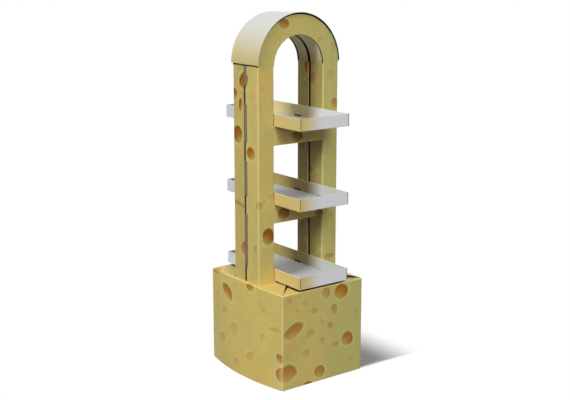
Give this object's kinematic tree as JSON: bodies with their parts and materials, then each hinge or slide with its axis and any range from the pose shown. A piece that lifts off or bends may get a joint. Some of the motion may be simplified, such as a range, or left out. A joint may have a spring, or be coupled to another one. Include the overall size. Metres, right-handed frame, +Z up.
{
  "type": "cardboard display stand",
  "caption": "Free-standing corrugated cardboard display stand: a box base, an arched ladder upright under a curved cap, and shallow open trays resting on its rails.",
  "frame": {"origin": "on the floor, at the middle of the stand's footprint", "axes": "+Z up, the front of the stand facing -Y, +X to the right of someone who stands in front, facing it"},
  "size_m": [0.4638, 0.49, 1.439],
  "materials": {
    "printed_board": "matt printed corrugated board, cheese-yellow with round holes in the print",
    "grey_card": "unprinted matt card",
    "cap_card": "matt card, cream at the ends and near white at the top",
    "tray_card": "matt white card, cream outside"
  },
  "bodies": {
    "root": {"base_box": "printed_board", "front_frame": "printed_board", "rear_frame": "printed_board", "front_soffit": "grey_card", "rear_soffit": "grey_card", "arch_cap": "cap_card", "bottom_tray": "tray_card", "middle_tray": "tray_card", "top_tray": "tray_card"}
  },
  "joints": []
}
